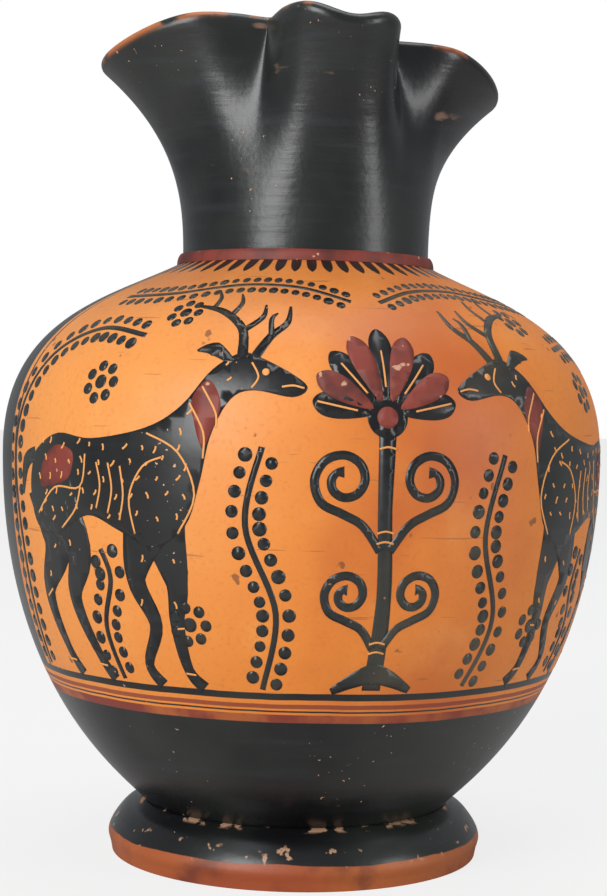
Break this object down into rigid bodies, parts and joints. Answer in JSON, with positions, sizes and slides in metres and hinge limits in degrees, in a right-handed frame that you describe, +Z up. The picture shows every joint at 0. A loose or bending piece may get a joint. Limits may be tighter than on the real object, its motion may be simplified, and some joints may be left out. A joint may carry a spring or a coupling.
{
  "type": "trefoil-mouth jug",
  "caption": "Small fired-clay wine jug with an ovoid body, a disc foot, a pinched trefoil mouth and a reeded strap handle at the back.",
  "frame": {"origin": "centre of the foot's underside, on the surface that the jug stands on", "axes": "+Z up along the turning axis, -Y towards the pouring lip, +Y towards the handle"},
  "size_m": [0.1308, 0.1308, 0.1808],
  "materials": {
    "black_gloss": "glossy fired black slip with a faint blue-grey sheen",
    "reserved_clay": "burnished orange clay, satin",
    "added_red": "matt dark red slip"
  },
  "bodies": {
    "root": {"foot": "black_gloss", "body": "reserved_clay", "neck_and_mouth": "black_gloss", "neck_coil": "added_red", "handle": "black_gloss"}
  },
  "joints": []
}
